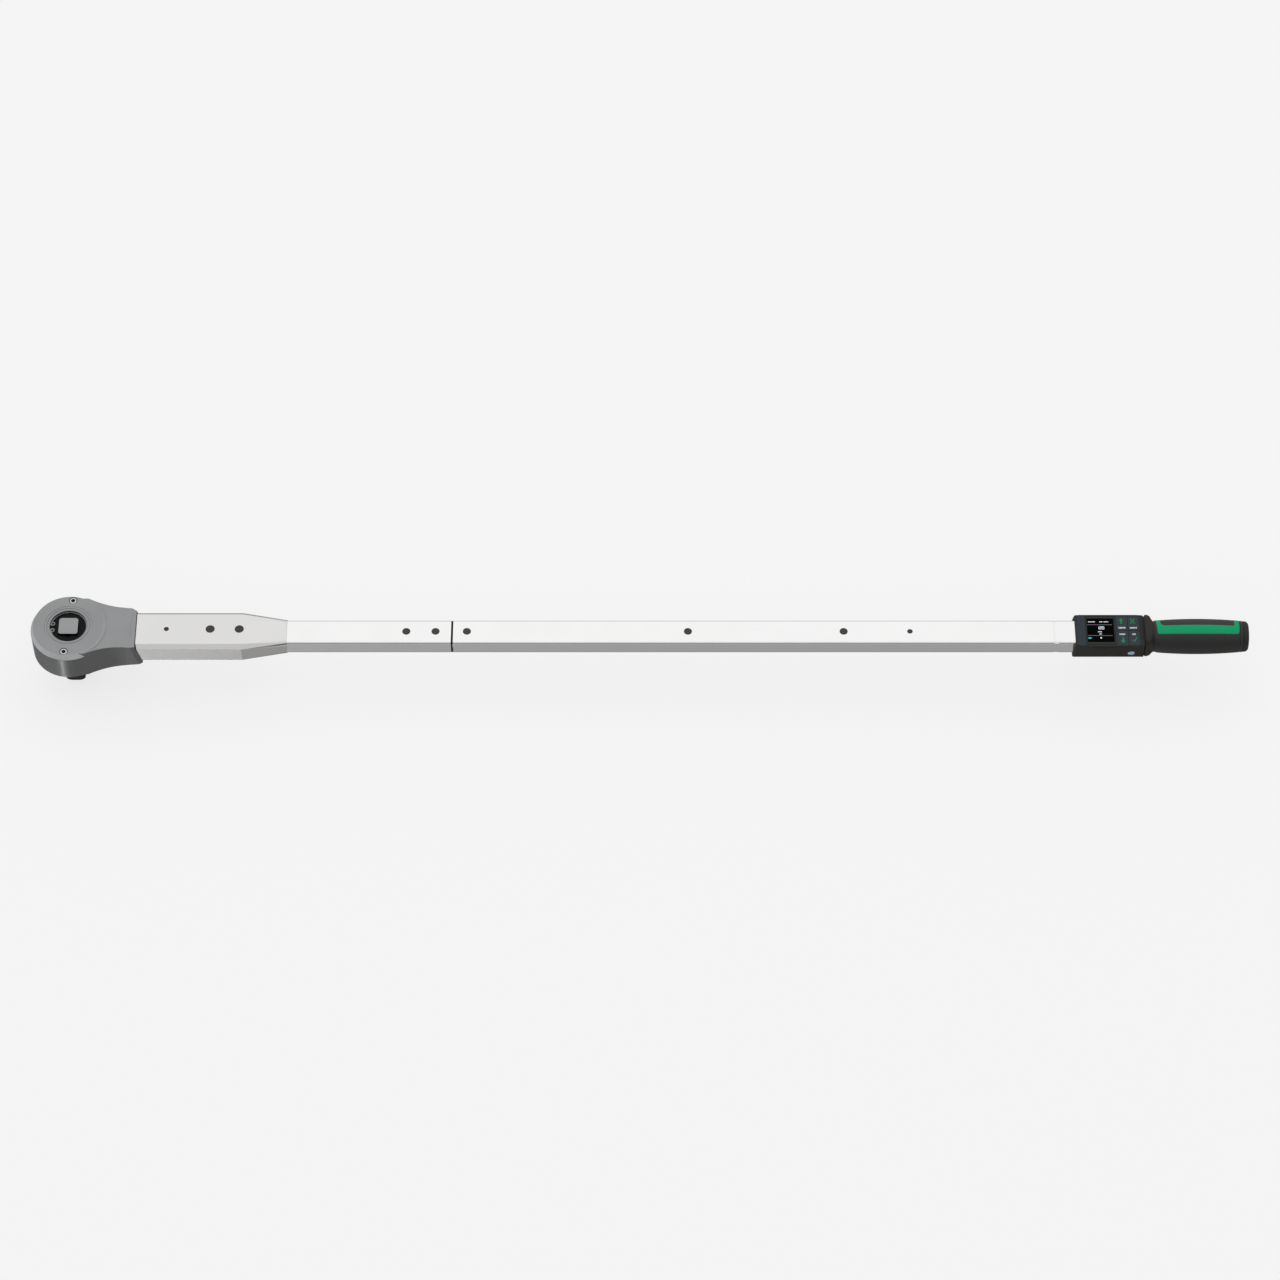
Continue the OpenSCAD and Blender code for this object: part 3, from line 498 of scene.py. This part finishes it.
def make_key_marks():
    """Green signs and a short white label on each key, in the key's own fractions."""
    layout = {"up": (0.44, 0.34, 0.48, 0.82, 0.66), "cross": (0.42, 0.34, 0.46, 0.82, 0.66),
              "down": (0.52, 0.67, 0.48, 0.25, 0.56), "tick": (0.52, 0.62, 0.48, 0.25, 0.32)}
    for key, (icon_u, icon_v, label_u, label_v, label_width) in layout.items():
        low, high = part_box(f"key_{key}")
        width, depth, level = high.x - low.x, high.y - low.y, high.z
        x, y = low.x + icon_u * width, high.y - icon_v * depth
        size = 0.21 * depth
        sign = bmesh.new()
        if key in ("up", "down"):
            arrow(sign, x, y, size, key == "up", level)
        elif key == "cross":
            reach, rise, stroke = 0.62 * size, 0.85 * size, 0.3 * size
            raised(sign, bar((x - reach, y - rise), (x + reach, y + rise), stroke), level, level + INK)
            for way in (-1, 1):
                start = (x + way * reach, y - way * rise)
                end = (x + way * 0.14 * size, y - way * 0.2 * size)
                raised(sign, bar(start, end, stroke), level, level + INK)
        else:
            stroke = 0.28 * size
            corner = (x - 0.10 * size, y - 0.75 * size)
            raised(sign, bar(corner, (x + 0.62 * size, y + 0.75 * size), stroke), level, level + INK)
            short_start = (x - 0.60 * size, y - 0.1 * size)
            short_end = (corner[0] - 0.1 * size, corner[1] + 0.1 * size)
            raised(sign, bar(short_start, short_end, stroke), level, level + INK)
        piece(f"key_{key}_sign", sign, f"key_{key}", "grip_green", INK_GREEN)
        label = bmesh.new()
        middle, half = low.x + label_u * width, label_width * width / 2
        dashes(label, middle - half, middle + half, high.y - label_v * depth, 0.12 * depth,
               max(3, round(label_width * 7)), level)
        piece(f"key_{key}_label", label, f"key_{key}", "bright_steel", INK_WHITE)


# ---------- Lamp ----------

def stadium(half_long, half_short, count=48):
    """Closed outline of a slot with round ends, as pairs."""
    straight = half_long - half_short
    points = []
    for i in range(count):
        a = 2 * math.pi * (i + 0.5) / count
        shift = straight if math.cos(a) > 0 else -straight
        points.append((shift + half_short * math.cos(a), half_short * math.sin(a)))
    return points


def make_lamp():
    """Slot-shaped lens with a shallow domed front."""
    low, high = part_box("signal_lamp")
    centre = (low + high) / 2
    half_x, half_z = (high.x - low.x) / 2, (high.z - low.z) / 2
    depth = high.y - low.y
    rings = []
    for place, scale in ((1.0, 1.0), (0.12, 1.0), (0.08, 0.97), (0.02, 0.88), (-0.05, 0.72), (-0.09, 0.50),
                         (-0.11, 0.25)):
        y = low.y + place * depth
        rings.append([(centre.x + u, y, centre.z + v) for u, v in stadium(half_x * scale, half_z * scale)])
    bm = bmesh.new()
    join_rings(bm, rings)
    piece("lamp_dome", bm, "frame", "lamp_lens", replaced="signal_lamp", smooth=True)


# ---------- Collar and grip ----------

ROOF_SQUARENESS = 5.0
KEEL_SQUARENESS = 2.8


def make_collar():
    """Lofts the boxy end of the housing into the round grip, with a bead and a groove."""
    low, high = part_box("collar")
    half_width, top, bottom = high.y, high.z, -low.z
    grip_radius = 16.0 * MM
    length = high.x - low.x
    count = 96
    # Place along the collar, blend from boxy to round, and millimetres proud of that blend
    stations = [
        (0.0, 0.0, -0.7), (0.03, 0.0, -0.7), (0.05, 0.0, -0.1), (0.09, 0.0, 0.25), (0.16, 0.0, 0.4),
        (0.34, 0.01, 0.4), (0.42, 0.02, 0.2), (0.46, 0.03, -0.2), (0.50, 0.06, -0.25),
        (0.54, 0.10, 0.1), (0.60, 0.2, 0.25), (0.70, 0.42, 0.15), (0.80, 0.68, 0.0),
        (0.88, 0.86, -0.15), (0.95, 0.97, -0.35), (1.0, 1.0, -0.5)]
    rings = []
    for place, blend, proud in stations:
        ring = []
        for i in range(count):
            a = 2 * math.pi * i / count
            c, s = math.cos(a), math.sin(a)
            depth, power = (top, ROOF_SQUARENESS) if s > 0 else (bottom, KEEL_SQUARENESS)
            boxy = ((abs(c) / half_width) ** power + (abs(s) / depth) ** power) ** (-1 / power)
            radius = (1 - blend) * boxy + blend * grip_radius + proud * MM
            ring.append((low.x + place * length, radius * c, radius * s))
        rings.append(ring)
    bm = bmesh.new()
    join_rings(bm, rings)
    piece("collar_shell", bm, "frame", "housing_black", replaced="collar", smooth=True)


GRIP_RADIUS = 17.6 * MM
GRIP_CROWN = 482 * MM
GRIP_WIDEST = 1122 * MM


def barrel(x):
    """Radius of the grip at x."""
    return GRIP_RADIUS - GRIP_CROWN + math.sqrt(GRIP_CROWN ** 2 - (x - GRIP_WIDEST) ** 2)


def make_grip_skin():
    """Barrel-shaped sleeve with a slight waist at its start and a groove near its end."""
    low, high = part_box("grip_sleeve")
    bore = 13.9 * MM
    ring_x = high.x - 3.4 * MM
    count = 96
    places = [low.x + i * MM * 0.5 for i in range(13)]
    places += [places[-1] + i * MM * 1.5 for i in range(1, 200) if places[-1] + i * MM * 1.5 < ring_x - MM]
    profile = [(low.x, bore)]
    for x in places:
        waist = 0.55 * MM * math.exp(-((x - low.x - 1.2 * MM) / (2.4 * MM)) ** 2)
        profile.append((x, barrel(x) - waist))
    end = barrel(ring_x)
    profile += [(ring_x - 0.5 * MM, end), (ring_x - 0.15 * MM, end - 0.1 * MM), (ring_x, end - 0.55 * MM),
                (ring_x + 0.35 * MM, end - 0.55 * MM), (ring_x + 0.45 * MM, end - 0.2 * MM),
                (ring_x + 0.8 * MM, end - 0.1 * MM), (high.x - 0.6 * MM, end - 0.3 * MM),
                (high.x - 0.1 * MM, end - 0.6 * MM), (high.x, end - 1.1 * MM), (high.x, bore)]
    rings = [[(x, r * math.cos(2 * math.pi * i / count), r * math.sin(2 * math.pi * i / count))
              for i in range(count)] for x, r in profile]
    bm = bmesh.new()
    join_rings(bm, rings, close_ends=False)
    piece("grip_skin", bm, "frame", "grip_black", replaced="grip_sleeve", smooth=True)


def rounded(corners, radii, straight, arc=8):
    """Closed outline through four corners with round corners, evenly filled straight runs."""
    points = []
    for i, corner in enumerate(corners):
        here = Vector(corner)
        before = (Vector(corners[i - 1]) - here).normalized() * radii[i]
        after = (Vector(corners[(i + 1) % 4]) - here).normalized() * radii[i]
        for k in range(arc + 1):
            t = k / arc
            points.append((1 - t) ** 2 * (here + before) + 2 * t * (1 - t) * here + t ** 2 * (here + after))
        stop = Vector(corners[(i + 1) % 4])
        leave = here + after
        reach = stop - (stop - here).normalized() * radii[(i + 1) % 4]
        for k in range(1, straight[i]):
            points.append(leave.lerp(reach, k / straight[i]))
    return points


# Lengths are millimetres on the flat layout. Angles are degrees from the top, front positive, and
# the inlay reaches equally far each way from the back.
ROLL_RADIUS = 17.0
BACK_ANGLE = -90
INLAY_REACH = 116
SIDE_BAND = 9.6
LEFT_BAND = 4.0
RIGHT_BAND = 4.9
LEFT_FLARE = 2.6
RIGHT_FLARE = 1.4
INLAY_OVERLAP = 0.4
INLAY_PROUD = 0.12
INLAY_EDGE = 0.02
INLAY_DEPTH = 0.7


def make_inlay():
    """Green frame that wraps round the far side of the grip, laid out flat and then rolled on."""
    low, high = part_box("grip_inlay")
    x0, x1 = low.x / MM, high.x / MM
    per_degree = math.radians(1) * ROLL_RADIUS
    near, far, back = ((BACK_ANGLE + turn) * per_degree for turn in (INLAY_REACH, -INLAY_REACH, 0))

    def flare(v):
        """1 at the middle of the back, down to 0 at the near and far edges."""
        return min(1.0, abs(near - v) / (near - back), abs(v - far) / (near - back))

    straight = [40, 60, 40, 60]
    left, right = x0 - INLAY_OVERLAP, x1
    outer = rounded([(left, near), (right, near), (right, far), (left, far)], [1.6, 2.6, 2.6, 1.6], straight)
    left, right = x0 + LEFT_BAND, x1 - RIGHT_BAND
    near_edge, far_edge = near - SIDE_BAND, far + SIDE_BAND
    inner = rounded([(left, near_edge), (right, near_edge), (right, far_edge), (left, far_edge)],
                    [4.2, 1.4, 1.4, 4.2], straight)
    across = 10

    def spot(point, lift):
        u, v = point
        side = 1 if u > (x0 + x1) / 2 else -1
        x = (u + side * flare(v) * (RIGHT_FLARE if side > 0 else LEFT_FLARE)) * MM
        a = v / ROLL_RADIUS
        radius = barrel(x) + lift * MM
        return x, -radius * math.sin(a), radius * math.cos(a)

    columns = []
    for k in range(across + 1):
        t = k / across
        lift = INLAY_EDGE if k in (0, across) else INLAY_PROUD
        columns.append([spot(p.lerp(q, t), lift) for p, q in zip(outer, inner)])
    for k in range(across, -1, -1):
        columns.append([spot(p.lerp(q, k / across), -INLAY_DEPTH) for p, q in zip(outer, inner)])
    bm = bmesh.new()
    join_rings(bm, columns, close_ends=False)
    piece("inlay_frame", bm, "frame", "grip_green", replaced="grip_inlay")


make_camera()
make_stage()
make_world()
make_key_light()
paint_nodes()
make_screw_sockets()
make_display()
make_key_marks()
make_lamp()
make_collar()
make_grip_skin()
make_inlay()
scene.view_settings.view_transform = "Standard"
